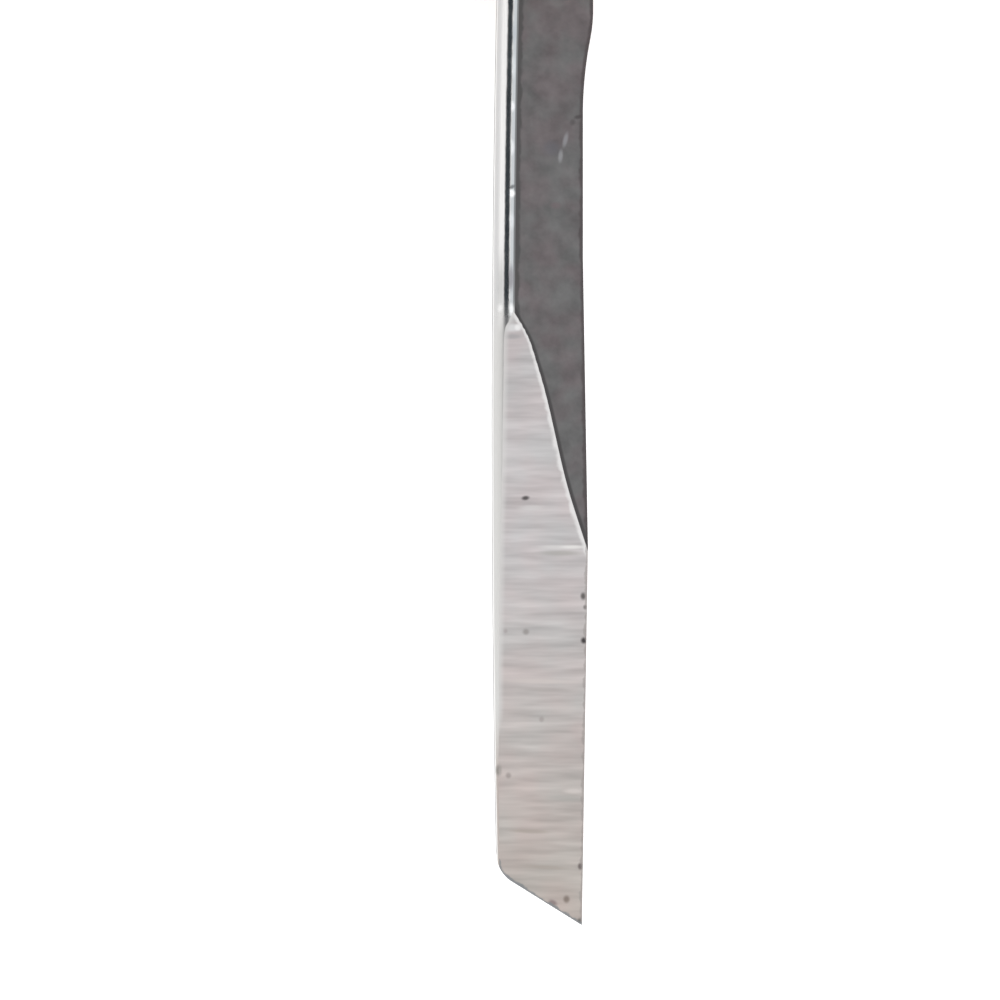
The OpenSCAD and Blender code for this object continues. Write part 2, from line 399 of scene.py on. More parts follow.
border = add_node(tree, "ShaderNodeAttribute", attribute_name="grind_depth").outputs["Fac"]
ragged = add_node(
    tree, "ShaderNodeMapRange",
    {"Value": breaks.outputs["Fac"], "From Min": 0.3, "From Max": 0.7, "To Min": -0.004, "To Max": 0.007},
)
border = add_node(tree, "ShaderNodeMath", {0: border, 1: ragged.outputs[0]}, operation="ADD").outputs[0]
# Painted highlight along the border with the stock, where the ground face steps down
colour = add_line(tree, border, 0.006, 0.024, colour, "#e2e0df", 0.9)
from_strip = add_node(tree, "ShaderNodeAttribute", attribute_name="from_strip").outputs["Fac"]
colour = add_line(tree, from_strip, 0, 0.42, colour, "#d2d0ce", 0.75)
# Painted shade along the cutting edge and the front end, made ragged by the noise
for name, tone, cover in (("from_edge", "#98928f", 0.6), ("from_front", "#85888a", 0.9)):
    gap = add_node(tree, "ShaderNodeAttribute", attribute_name=name).outputs["Fac"]
    gap = add_node(tree, "ShaderNodeMath", {0: gap, 1: wander.outputs[0]}, operation="ADD").outputs[0]
    colour = add_line(tree, gap, 0.07, 0.2, colour, tone, cover)
tree.links.new(colour, surface.inputs["Base Color"])
fine_lines_at = add_node(
    tree, "ShaderNodeMapping", {"Vector": place, "Scale": (1 / (6 * MM), 1 / (0.09 * MM), 1 / (6 * MM))}
)
fine_lines = add_node(
    tree, "ShaderNodeTexNoise", {"Vector": fine_lines_at.outputs[0], "Scale": 1, "Detail": 2}
)
relief = add_node(
    tree, "ShaderNodeBump", {"Height": fine_lines.outputs["Fac"], "Strength": 0.35, "Distance": 0.004 * MM}
)
tree.links.new(relief.outputs[0], surface.inputs["Normal"])
dulling = add_node(
    tree, "ShaderNodeMapRange", {"Value": lines.outputs["Fac"], "To Min": 0.48, "To Max": 0.36}
)
tree.links.new(dulling.outputs[0], surface.inputs["Roughness"])
surface.inputs["Metallic"].default_value = 1

# Heat-darkened tool steel: the stock as it left the furnace, matt and mottled with faint warm and cool
# casts, with painted shade along the crown, the thin side and the grind's border, and with rubbed scratches
# and a scuff on the neck
stock_steel, tree, surface = new_material("heat_darkened_tool_steel")
place = add_node(tree, "ShaderNodeTexCoord").outputs["Object"]
mottle = add_node(
    tree, "ShaderNodeTexNoise", {"Vector": place, "Scale": 1 / (1.3 * MM), "Detail": 3, "Roughness": 0.55}
)
blots = add_node(tree, "ShaderNodeTexNoise", {"Vector": place, "Scale": 1 / (1.6 * MM), "Detail": 1})
mottle_share = add_node(
    tree, "ShaderNodeMapRange", {"Value": mottle.outputs["Fac"], "From Min": 0.25, "From Max": 0.75}
)
grey = add_node(
    tree, "ShaderNodeMix",
    {"Factor": mottle_share.outputs[0], UNDER: linear("#605d5e"), OVER: linear("#797677")},
    data_type="RGBA",
)
cast_share = add_node(
    tree, "ShaderNodeMapRange", {"Value": blots.outputs["Fac"], "From Min": 0.35, "From Max": 0.65}
)
cast = add_node(
    tree, "ShaderNodeMix",
    {"Factor": cast_share.outputs[0], UNDER: linear("#fff8f9"), OVER: linear("#f8fdfb")},
    data_type="RGBA",
)
colour = add_node(
    tree, "ShaderNodeMix", {"Factor": 1, UNDER: grey.outputs[MIXED], OVER: cast.outputs[MIXED]},
    data_type="RGBA", blend_type="MULTIPLY",
).outputs[MIXED]
colour = add_marks(tree, place, colour, (
    (-1.05, 49.75, 0.22, 0.68, -14, "#97979b", 0.6),
    (-1.36, 48.72, 0.22, 0.6, -5, "#9d9da0", 0.6),
    (-0.22, 51.2, 0.42, 0.2, 12, "#4c4849", 0.7),
    (-0.6, 50.85, 0.26, 0.3, -30, "#565253", 0.6),
    (-1.66, 45.6, 0.5, 0.3, 0, "#75686b", 0.5),
    (-1.95, 49.2, 0.8, 0.7, 0, "#69696f", 0.5),
))
breaks = add_node(tree, "ShaderNodeTexNoise", {"Vector": place, "Scale": 1 / (0.7 * MM), "Detail": 2})
wander = add_node(
    tree, "ShaderNodeMapRange",
    {"Value": breaks.outputs["Fac"], "From Min": 0.3, "From Max": 0.7, "To Min": 0.07, "To Max": -0.07},
)
from_spine = add_node(tree, "ShaderNodeAttribute", attribute_name="from_spine").outputs["Fac"]
from_spine = add_node(
    tree, "ShaderNodeMath", {0: from_spine, 1: wander.outputs[0]}, operation="ADD"
).outputs[0]
# Painted shade on the face right beside the crown
colour = add_line(tree, from_spine, 1.6, 1.8, colour, "#4f4e4e", 0.8)
from_edge = add_node(tree, "ShaderNodeAttribute", attribute_name="from_edge").outputs["Fac"]
from_edge = add_node(
    tree, "ShaderNodeMath", {0: from_edge, 1: wander.outputs[0]}, operation="ADD"
).outputs[0]
# Painted shade along the thin side
colour = add_line(tree, from_edge, 0.12, 0.3, colour, "#504a4b", 0.75)
border = add_node(tree, "ShaderNodeAttribute", attribute_name="grind_depth").outputs["Fac"]
# Painted shade on the stock's side of the grind's border
colour = add_line(tree, border, -0.009, -0.019, colour, "#484647", 0.85)
tree.links.new(colour, surface.inputs["Base Color"])
surface.inputs["Metallic"].default_value = 1
grain = add_node(
    tree, "ShaderNodeTexNoise", {"Vector": place, "Scale": 1 / (0.12 * MM), "Detail": 3, "Roughness": 0.6}
)
relief = add_node(
    tree, "ShaderNodeBump", {"Height": grain.outputs["Fac"], "Strength": 0.4, "Distance": 0.004 * MM}
)
tree.links.new(relief.outputs[0], surface.inputs["Normal"])
dulling = add_node(
    tree, "ShaderNodeMapRange", {"Value": mottle.outputs["Fac"], "To Min": 0.4, "To Max": 0.52}
)
tree.links.new(dulling.outputs[0], surface.inputs["Roughness"])

# Polished tool steel: the spine is buffed bright for the thumb, with faint waves left along the blade, and
# the lines it mirrors are shaped with painted shade and painted highlights. Beside the ground face it is
# worn satin, and stained towards the front end
spine_steel, tree, surface = new_material("polished_tool_steel")
place = add_node(tree, "ShaderNodeTexCoord").outputs["Object"]
buffed_at = add_node(
    tree, "ShaderNodeMapping", {"Vector": place, "Scale": (1 / (0.12 * MM), 1 / (3 * MM), 1 / (0.12 * MM))}
)
buffed = add_node(tree, "ShaderNodeTexNoise", {"Vector": buffed_at.outputs[0], "Scale": 1, "Detail": 2})
bright = add_node(
    tree, "ShaderNodeMix",
    {"Factor": buffed.outputs["Fac"], UNDER: linear("#cfcecd"), OVER: linear("#e1e0df")},
    data_type="RGBA",
).outputs[MIXED]
from_spine = add_node(tree, "ShaderNodeAttribute", attribute_name="from_spine").outputs["Fac"]
# Painted shade where the crown's outer side mirrors the shadowed floor
bright = add_line(tree, from_spine, 0.26, 0.48, bright, "#b4b3b3", 0.8)
# Painted shade: the crown's reflected white line is dimmed towards its inner end, and a dark line ends it
bright = add_line(tree, from_spine, 1.2, 1.05, bright, "#bcc1c4", 0.8)
bright = add_line(tree, from_spine, 1.37, 1.27, bright, "#626262", 0.85)
along = add_node(tree, "ShaderNodeSeparateXYZ", {0: place})
wear_half_l = 1.1 * MM
worn = add_node(
    tree, "ShaderNodeMapRange",
    {"Value": along.outputs["Y"], "From Min": grind_y + wear_half_l, "From Max": grind_y - wear_half_l},
)
stain_y = tip_y + 14 * MM
stain_l = 5.4 * MM
stained = add_node(
    tree, "ShaderNodeMapRange",
    {"Value": along.outputs["Y"], "From Min": stain_y, "From Max": stain_y - stain_l},
    interpolation_type="SMOOTHSTEP",
)
satin = add_node(
    tree, "ShaderNodeMix",
    {"Factor": stained.outputs[0], UNDER: linear("#c4c3c1"), OVER: linear("#a9a09b")},
    data_type="RGBA",
)
colour = add_node(
    tree, "ShaderNodeMix", {"Factor": worn.outputs[0], UNDER: bright, OVER: satin.outputs[MIXED]},
    data_type="RGBA",
).outputs[MIXED]
# Painted light on the outermost edge, where it would mirror the floor's shadow
colour = add_line(tree, from_spine, 0.05, 0.13, colour, "#f6f5f4", 0.9)
colour = add_marks(tree, place, colour, (
    # Painted highlights and painted shade along the crown's reflected white line, down to 39 mm from the
    # tip
    (-4.38, 56.5, 0.3, 0.9, 0, "#a9b0b8", 0.4),
    (-4.4, 54.4, 0.3, 1.1, 0, "#eef1f2", 0.35),
    (-4.44, 51.86, 0.26, 0.5, 0, "#ffffff", 0.7),
    (-4.46, 49.26, 0.26, 0.7, 0, "#fbfcfc", 0.5),
    (-4.44, 46.75, 0.32, 0.18, 30, "#4a4c4e", 0.7),
    (-4.5, 46.35, 0.34, 0.36, 0, "#ffffff", 1),
    (-4.48, 44.6, 0.26, 0.8, 0, "#eef1f3", 0.4),
    (-4.5, 41, 0.3, 1.2, 0, "#908e93", 0.8),
    (-5.25, 40.5, 0.6, 2.9, 0, "#b0b0af", 0.8),
    (-5.2, 39.1, 0.3, 0.4, 0, "#ffffff", 0.3),
    (-4.5, 39, 0.26, 0.55, 0, "#ffffff", 0.75),
    (-5.3, 9.83, 0.3, 0.5, 0, "#7a7772", 0.8),
))
tree.links.new(colour, surface.inputs["Base Color"])
surface.inputs["Metallic"].default_value = 1
waves = add_node(tree, "ShaderNodeTexNoise", {"Vector": place, "Scale": 1 / (1.1 * MM), "Detail": 3})
wavy = add_node(tree, "ShaderNodeMapRange", {"Value": from_spine, "From Min": 0.1, "From Max": 0.35})
relief = add_node(
    tree, "ShaderNodeBump",
    {"Height": waves.outputs["Fac"], "Strength": wavy.outputs[0], "Distance": 0.02 * MM},
)
tree.links.new(relief.outputs[0], surface.inputs["Normal"])
gloss = add_node(
    tree, "ShaderNodeMapRange", {"Value": waves.outputs["Fac"], "To Min": 0.1, "To Max": 0.2}
)
arris = add_node(tree, "ShaderNodeMapRange", {"Value": from_spine, "From Min": 0.16, "From Max": 0.06})
dull_share = add_node(
    tree, "ShaderNodeMath", {0: worn.outputs[0], 1: arris.outputs[0]}, operation="MAXIMUM"
)
dulled = add_node(
    tree, "ShaderNodeMapRange",
    {"Value": dull_share.outputs[0], "To Min": gloss.outputs[0], "To Max": 0.4},
)
tree.links.new(dulled.outputs[0], surface.inputs["Roughness"])

# Section of the stock, spun along the bow of the spine. With this many steps the shoulder is cut well
# between two rings, so the cut leaves no hair-thin facets
bow_steps = 60
crown_segments = 26
section_w = stock_w + spare
bpy.ops.object.select_all(action="DESELECT")
bpy.ops.mesh.primitive_plane_add(size=1, location=bow_centre, rotation=(math.pi / 2, 0, 0))
blade = new_piece("blade_steel")
blade.scale = (section_w, 2 * (spine_t / 2 + face_slope * land_w), 1)
bpy.ops.object.transform_apply(location=False, rotation=True, scale=True)
bpy.ops.object.mode_set(mode="EDIT")
bpy.ops.mesh.select_all(action="SELECT")
bpy.ops.transform.translate(value=(section_w / 2 - bow_r, 0, 0))
pick(blade, "VERT", lambda p: p.x > section_w / 2 - bow_r)
thin_share = (spine_t / 2 - face_slope * (section_w - land_w)) / (spine_t / 2 + face_slope * land_w)
bpy.ops.transform.resize(value=(1, 1, thin_share), center_override=bow_centre)
pick(blade, "VERT", lambda p: p.x < section_w / 2 - bow_r)
bpy.ops.mesh.bevel(offset=crown_w, segments=crown_segments, profile=0.5, affect="VERTICES")
bpy.ops.mesh.select_all(action="SELECT")
half_turn = math.asin((reach / 2 + spare) / bow_r)
bpy.ops.mesh.spin(steps=bow_steps, angle=2 * half_turn, center=bow_centre, axis=(0, 0, 1))
bpy.ops.mesh.select_all(action="SELECT")
bpy.ops.mesh.normals_make_consistent(inside=False)
bpy.ops.object.mode_set(mode="OBJECT")
blade.rotation_euler.z = half_turn
bpy.ops.object.transform_apply(location=True, rotation=True, scale=True)

for finish in (stock_steel, ground_steel, spine_steel):
    blade.data.materials.append(finish)

# Tang: marked out by four cuts in the middle of the shoulder's face, drawn out to a flat bar with a
# round end and drilled for the pins
trim(blade, (0, shoulder_y, 0), (0, 1, 0))
bpy.ops.object.mode_set(mode="EDIT")
for half_tang, across, reached in (
    (tang_w / 2, Vector((1, 0, 0)), stock_w), (tang_t / 2, Vector((0, 0, 1)), tang_w / 2)
):
    for side in (-half_tang, half_tang):
        pick(blade, "FACE", lambda p: p.y > shoulder_y - hair and abs(p.x) < reached)
        bpy.ops.mesh.bisect(
            plane_co=Vector((0, 0, axis_z)) + side * across, plane_no=across, threshold=hair
        )
pick(
    blade, "FACE",
    lambda p: p.y > shoulder_y - hair and abs(p.x) < tang_w / 2 and abs(p.z - axis_z) < tang_t / 2,
)
bpy.ops.mesh.extrude_region_move(TRANSFORM_OT_translate={"value": (0, tang_end_y - shoulder_y, 0)})
pick(blade, "EDGE", lambda p: p.y > tang_end_y - hair and abs(p.z - axis_z) < hair)
bpy.ops.mesh.bevel(offset=tang_end_r, segments=12, profile=0.5, affect="EDGES")
bpy.ops.object.mode_set(mode="OBJECT")
drill_for_pins(blade, pin_hole_r, 2 * spine_t)

# Thin side, edge line, skewed front end and its rounded corner
trim(blade, (thin_x, 0, 0), (1, 0, 0))
edge_run = heel - tip
trim(blade, (tip.x, tip.y, 0), (edge_run.y, -edge_run.x, 0))
trim(blade, (tip.x, tip.y, 0), (front_out.x, front_out.y, 0))
corner_cuts = 14
corner_from = math.radians(270) - front_skew
corner_to = math.radians(188)
for i in range(1, corner_cuts + 1):
    turn = corner_from + (corner_to - corner_from) * i / corner_cuts
    out = Vector((math.cos(turn), math.sin(turn), 0))
    trim(blade, Vector((corner_x, corner_y, 0)) + corner_r * out, out)

# Neck: the wheel's rim, drawn out along the parallel neck and then up to the heel
bpy.ops.object.select_all(action="DESELECT")
bpy.ops.mesh.primitive_cylinder_add(
    vertices=wheel_sides, radius=relief_r, depth=4 * spine_t, location=(neck_x + relief_r, neck_y, axis_z)
)
wheel = new_piece("neck_wheel")
bpy.ops.object.transform_apply(location=True, rotation=True, scale=True)
trim(wheel, (0, neck_y, 0), (0, -1, 0))
bpy.ops.object.mode_set(mode="EDIT")
pick(wheel, "FACE", lambda p: abs(p.y - neck_y) < hair)
bpy.ops.mesh.extrude_region_move(TRANSFORM_OT_translate={"value": (0, -neck_l, 0)})
bpy.ops.mesh.extrude_region_move(TRANSFORM_OT_translate={"value": (0, heel.y - neck_y + neck_l, 0)})
pick(wheel, "VERT", lambda p: p.y < heel.y + hair and p.x < thin_x)
bpy.ops.transform.translate(value=(heel.x - neck_x, 0, 0))
bpy.ops.object.mode_set(mode="OBJECT")
cut(blade, wheel)

# Shoulder: a block with a hollow of the shoulder's own rounding, which takes off its corner
bpy.ops.object.select_all(action="DESELECT")
bpy.ops.mesh.primitive_cube_add(size=1, location=(thin_x, (round_y + relief_y) / 2, axis_z))
shoulder_stone = new_piece("shoulder_stone")
shoulder_stone.scale = (spare, round_y - relief_y, 3 * spine_t)
bpy.ops.object.transform_apply(location=True, rotation=True, scale=True)
bpy.ops.object.select_all(action="DESELECT")
bpy.ops.mesh.primitive_cylinder_add(
    vertices=wheel_sides, radius=shoulder_r, depth=4 * spine_t,
    location=(thin_x - shoulder_r, round_y, axis_z),
)
rounding = new_piece("shoulder_rounding")
bpy.ops.object.transform_apply(location=True, rotation=True, scale=True)
cut(shoulder_stone, rounding)
cut(blade, shoulder_stone)

# Ground face
face_w = 2 * stock_w
face_l = 2 * grind_l
face_columns = 60
face_rows = 220
bpy.ops.object.select_all(action="DESELECT")
bpy.ops.mesh.primitive_grid_add(
    x_subdivisions=face_columns, y_subdivisions=face_rows, size=1,
    location=(0, grind_y - face_l / 4, axis_z),
)
stone = new_piece("face_stone")
stone.scale = (face_w, face_l, 1)
bpy.ops.object.transform_apply(location=True, rotation=True, scale=True)
for point in stone.data.vertices:
    point.co.z = axis_z + ground_height(point.co.x, point.co.y)
bpy.ops.object.mode_set(mode="EDIT")
bpy.ops.mesh.select_all(action="SELECT")
bpy.ops.mesh.extrude_region_move(TRANSFORM_OT_translate={"value": (0, 0, 2 * spine_t)})
bpy.ops.mesh.select_all(action="SELECT")
bpy.ops.mesh.normals_make_consistent(inside=False)
bpy.ops.object.mode_set(mode="OBJECT")
stone.data.materials.append(ground_steel)
cut(blade, stone)

# Edge bevel on the underside, which runs out behind the heel on the wheel's radius
tip_h = ground_height(tip.x, tip.y) - edge_t
heel_h = ground_height(heel.x, heel.y) - edge_t
edge_rise = math.atan((heel_h - tip_h) / edge_run.length)
edge_lean = math.atan(edge_run.x / edge_run.y)
edge_true_l = math.hypot(edge_run.length, heel_h - tip_h)
bevel_l = edge_true_l + runout_r
bevel_start = Vector((tip.x, tip.y, axis_z + tip_h))
bpy.ops.object.select_all(action="DESELECT")
bpy.ops.mesh.primitive_cube_add(size=1, location=bevel_start)
bevel_stone = new_piece("bevel_stone")
bpy.ops.object.mode_set(mode="EDIT")
bpy.ops.mesh.select_all(action="SELECT")
bpy.ops.transform.resize(
    value=(4 * stock_w, bevel_l + edge_l, 2 * runout_r), center_override=bevel_stone.location
)
bpy.ops.transform.translate(value=(0, (bevel_l - edge_l) / 2, -runout_r))
pick(bevel_stone, "EDGE", lambda p: p.z > -hair and p.y > bevel_l - hair)
bpy.ops.mesh.bevel(offset=runout_r, segments=24, profile=0.5, affect="EDGES")
bpy.ops.object.mode_set(mode="OBJECT")
bevel_stone.rotation_mode = "YXZ"
bevel_stone.rotation_euler = (edge_rise, -bevel_angle, -edge_lean)
bevel_turn = bevel_stone.rotation_euler.to_matrix()
bpy.ops.object.transform_apply(location=True, rotation=True, scale=True)
bevel_stone.data.materials.append(ground_steel)
cut(blade, bevel_stone)

# Finish by place: the crown is polished, the front end and its corner are ground
DARK, GROUND, POLISHED = range(3)
front_facing = -0.1
for face in blade.data.polygons:
    if face.material_index != DARK or face.center.y > shoulder_y - hair:
        continue
    if face.center.y < corner_y + corner_r and face.normal.y < front_facing:
        face.material_index = GROUND
    elif face.center.x - spine_x(face.center.y) < crown_w:
        face.material_index = POLISHED
work_on(blade)
bpy.ops.object.shade_smooth_by_angle(angle=math.radians(20))
finishes = {}
for face in blade.data.polygons:
    for edge in face.edge_keys:
        finishes.setdefault(edge, set()).add(face.material_index)
for edge in blade.data.edges:
    if len(finishes[edge.key]) > 1:
        edge.use_edge_sharp = True

# Border of the polished strip and the ground face, feathered by the wheel as far as the strip is bright
seam = [
    blade.data.vertices[i].co.to_2d() for edge in blade.data.edges
    if finishes[edge.key] == {GROUND, POLISHED} for i in edge.vertices
    if blade.data.vertices[i].co.z > axis_z
]


def strip_gap(x, y):
    """Distance from that border, which fades out where the strip is stained."""
    return x - min(seam, key=lambda p: abs(p.y - y)).x + MM * ease(stain_y - y, 0, stain_l)


def grind_depth(x, y, z):
    """How deep the wheel went below the stock, on the ground face above or on the bevel below."""
    face_depth = stock_height(x, y) - ground_height(x, y)
    face_z = axis_z + stock_height(x, y) - max(face_depth, 0)
    if z > face_z - edge_t / 2 or front_gap(x, y) < hair:
        return face_depth
    spot = bevel_turn.transposed() @ (Vector((x, y, axis_z - stock_height(x, y))) - bevel_start)
    past = min(max(spot.y - edge_true_l, 0), runout_r)
    return math.sqrt(runout_r ** 2 - past ** 2) - runout_r - spot.z


# Distances in millimetres that the finishes are drawn by
measures = {
    "from_spine": lambda x, y, z: x - spine_x(y),
    "from_edge": lambda x, y, z: thin_side_x(y) - x,
    "from_front": lambda x, y, z: front_gap(x, y),
    "from_strip": lambda x, y, z: strip_gap(x, y),
    "grind_depth": grind_depth,
}
for name, measure in measures.items():
    kept = blade.data.attributes.new(name, "FLOAT", "POINT")
    for point in blade.data.vertices:
        x, y, z = point.co
        kept.data[point.index].value = measure(x, min(y, shoulder_y), z) / MM

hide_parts("blade")
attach(blade, "root")

# Handle
# Two halves of oiled beech, grooved for the tang and glued round it, then turned to a barrel with a
# spigot for the ferrule. Both flats are planed on last and their arrises are eased by hand.
handle_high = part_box("handle_lower")[1]
butt_y = handle_high.y
belly_r = handle_high.x
barrel_y = ferrule_high.y
belly_y = shoulder_y + 66 * MM
spigot_r = 5.87 * MM
front_r = 8.4 * MM
butt_r = 9.4 * MM
dome_r = 26 * MM
butt_round_r = 13.5 * MM
butt_round_y = butt_y - 12.6 * MM
butt_cap = 0.01 * MM
shoulder_ease = 0.45 * MM
arris_ease = 0.5 * MM
groove_w = tang_w + 0.3 * MM
groove_end_y = tang_end_y + 1 * MM
pin_r = 1.5 * MM


def barrel_r(y):
    """Radius of the turning: two arcs that meet at the belly, rounded off and domed at the butt."""
    run, drop = belly_y - barrel_y, belly_r - front_r
    if y > belly_y:
        run, drop = butt_y - belly_y, belly_r - butt_r
    arc_r = (run ** 2 + drop ** 2) / (2 * drop)
    radius = belly_r - arc_r + math.sqrt(arc_r ** 2 - (y - belly_y) ** 2)
    for centre_y, circle_r in ((butt_y - dome_r, dome_r), (butt_round_y, butt_round_r)):
        if y > centre_y:
            radius = min(radius, math.sqrt(circle_r ** 2 - (y - centre_y) ** 2))
    return radius


def oiled_beech(name, pith_x, pith_z):
    """Steamed beech under oil: soft growth rings round a pith outside the handle, fibre along it, and
    the short brown ray flecks that beech shows on its long faces. The fibre is drawn coarser than it is,
    so that it shows."""
    material, tree, surface = new_material(name)
    place = add_node(tree, "ShaderNodeTexCoord").outputs["Object"]
    sway = add_node(tree, "ShaderNodeTexNoise", {"Vector": place, "Scale": 1 / (28 * MM), "Detail": 1})
    swayed = add_node(
        tree, "ShaderNodeVectorMath", {0: sway.outputs["Color"], 1: (6 * MM,) * 3, 2: place},
        operation="MULTIPLY_ADD",
    )
    # At a scale of 1 the wave repeats every pi / 10
    ring_w = 2.4 * MM
    ring_scale = math.pi / 10 / ring_w
    from_pith = add_node(
        tree, "ShaderNodeMapping",
        {"Vector": swayed.outputs[0], "Location": (-pith_x, 0, -pith_z)},
    )
    rings = add_node(
        tree, "ShaderNodeTexWave", {"Vector": from_pith.outputs[0], "Scale": ring_scale},
        wave_type="RINGS", rings_direction="Y", wave_profile="SAW",
    )
    fibre_at = add_node(
        tree, "ShaderNodeMapping",
        {"Vector": swayed.outputs[0], "Scale": (1 / (0.3 * MM), 1 / (9 * MM), 1 / (0.3 * MM))},
    )
    fibre = add_node(tree, "ShaderNodeTexNoise", {"Vector": fibre_at.outputs[0], "Scale": 1, "Detail": 4})
    fleck_at = add_node(
        tree, "ShaderNodeMapping",
        {"Vector": place, "Scale": (1 / (0.33 * MM), 1 / (2 * MM), 1 / (0.33 * MM))},
    )
    fleck = add_node(tree, "ShaderNodeTexNoise", {"Vector": fleck_at.outputs[0], "Scale": 1, "Detail": 1})
    flecks = add_node(
        tree, "ShaderNodeMapRange",
        {"Value": fleck.outputs["Fac"], "From Min": 0.63, "From Max": 0.7, "To Min": 0, "To Max": 0.6},
    )
    ring_share = add_node(
        tree, "ShaderNodeMapRange",
        {"Value": rings.outputs["Fac"], "From Min": 0.2, "To Min": 0, "To Max": 0.8},
    )
    wood = add_node(
        tree, "ShaderNodeMix",
        {"Factor": ring_share.outputs[0], UNDER: linear("#cf9f72"), OVER: linear("#b8835a")},
        data_type="RGBA",
    )
    streak = add_node(
        tree, "ShaderNodeMapRange",
        {"Value": fibre.outputs["Fac"], "From Min": 0.3, "From Max": 0.7, "To Min": 0.88, "To Max": 1.1},
    )
    fibrous = add_node(
        tree, "ShaderNodeVectorMath", {0: wood.outputs[MIXED], "Scale": streak.outputs[0]},
        operation="SCALE",
    )
    flecked = add_node(
        tree, "ShaderNodeMix",
        {"Factor": flecks.outputs[0], UNDER: fibrous.outputs[0], OVER: linear("#8a5a38")},
        data_type="RGBA",
    )
    # Fine dark glue line where the halves meet
    level = add_node(tree, "ShaderNodeSeparateXYZ", {0: place}).outputs["Z"]
    from_joint = add_node(tree, "ShaderNodeMath", {0: level, 1: axis_z}, operation="SUBTRACT").outputs[0]
    from_joint = add_node(tree, "ShaderNodeMath", {0: from_joint}, operation="ABSOLUTE").outputs[0]
    colour = add_line(tree, from_joint, 0.04 * MM, 0.14 * MM, flecked.outputs[MIXED], "#7d5233", 0.7)
    tree.links.new(colour, surface.inputs["Base Color"])
    sheen = add_node(
        tree, "ShaderNodeMapRange", {"Value": fibre.outputs["Fac"], "To Min": 0.5, "To Max": 0.36}
    )
    tree.links.new(sheen.outputs[0], surface.inputs["Roughness"])
    pores = add_node(
        tree, "ShaderNodeBump", {"Height": fibre.outputs["Fac"], "Strength": 0.5, "Distance": 0.03 * MM}
    )
    tree.links.new(pores.outputs[0], surface.inputs["Normal"])
    surface.inputs["Coat Weight"].default_value = 0.15
    surface.inputs["Coat Roughness"].default_value = 0.3
    return material


# Turning blank: the spigot's end, drawn out ring by ring
turned_sides = 128
front_rings = 20
back_rings = 12
butt_rings = 16
rings_at = [barrel_y + (belly_y - barrel_y) * i / front_rings for i in range(front_rings + 1)]
rings_at += [belly_y + (butt_round_y - belly_y) * i / back_rings for i in range(1, back_rings + 1)]
rings_at += [
    butt_round_y + (butt_y - butt_cap - butt_round_y) * math.sin(math.pi / 2 * i / butt_rings)
    for i in range(1, butt_rings + 1)
]
bpy.ops.object.select_all(action="DESELECT")
bpy.ops.mesh.primitive_circle_add(
    vertices=turned_sides, radius=spigot_r, fill_type="NGON",
    location=(0, shoulder_y, axis_z), rotation=(math.pi / 2, 0, 0),
)
blank = new_piece("handle_blank")
bpy.ops.object.transform_apply(location=True, rotation=True, scale=True)
bpy.ops.object.mode_set(mode="EDIT")
bpy.ops.mesh.select_all(action="SELECT")
bpy.ops.mesh.extrude_region_move(TRANSFORM_OT_translate={"value": (0, barrel_y - shoulder_y, 0)})
last_y, last_r = barrel_y, spigot_r
for y in rings_at:
    bpy.ops.mesh.extrude_region_move(TRANSFORM_OT_translate={"value": (0, y - last_y, 0)})
    wider = barrel_r(y) / last_r
    bpy.ops.transform.resize(value=(wider, 1, wider), center_override=(0, y, axis_z))
    last_y, last_r = y, barrel_r(y)
pick(
    blank, "EDGE",
    lambda p: abs(p.y - barrel_y) < hair and math.hypot(p.x, p.z - axis_z) > front_r - shoulder_ease,
)
bpy.ops.mesh.bevel(offset=shoulder_ease, segments=4, profile=0.5, affect="EDGES")
bpy.ops.mesh.select_all(action="SELECT")
bpy.ops.mesh.normals_make_consistent(inside=False)
bpy.ops.object.mode_set(mode="OBJECT")
# Flats: what rises past them is planed off, with a parabola for the eased arris
for point in blank.data.vertices:
    rise = abs(point.co.z - axis_z)
    past = min(rise - axis_z + arris_ease, 2 * arris_ease)
    if past > 0:
        planed = min(rise, axis_z + arris_ease) - past ** 2 / (4 * arris_ease)
        point.co.z = axis_z + math.copysign(planed, point.co.z - axis_z)

for node, side, pith in (
    ("handle_lower", -1, (21 * MM, -38 * MM)),
    ("handle_upper", 1, (-14 * MM, 52 * MM)),
):
    work_on(blank)
    bpy.ops.object.duplicate()
    half = new_piece(node + "_beech")
    trim(half, (0, 0, axis_z), (0, 0, -side))
    bpy.ops.object.select_all(action="DESELECT")
    bpy.ops.mesh.primitive_cube_add(size=1, location=(0, (shoulder_y - spare + groove_end_y) / 2, axis_z))
    plough = new_piece("groove_plough")
    plough.scale = (groove_w, groove_end_y - shoulder_y + spare, tang_t)
    bpy.ops.object.transform_apply(location=True, rotation=True, scale=True)
    cut(half, plough)
    drill_for_pins(half, pin_r, 6 * axis_z)
    work_on(half)
    bpy.ops.object.shade_smooth_by_angle(angle=math.radians(30))
    half.data.materials.clear()
    half.data.materials.append(oiled_beech("oiled_beech_" + node.removeprefix("handle_"), *pith))
    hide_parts(node)
    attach(half, "root")
bpy.data.objects.remove(blank)

# Ferrule
# A turned brass tube with a bead at its back edge, pressed and glued over the spigot so that it keeps
# the two halves from opening where the tang enters.
bore_r = 5.9 * MM
ferrule_r = 7 * MM
bead_w = 1.7 * MM
bead_rise = ferrule_high.x - ferrule_r
bead_round = 0.98 * bead_rise
front_chamfer = 0.5 * MM
mouth_ease = 0.12 * MM

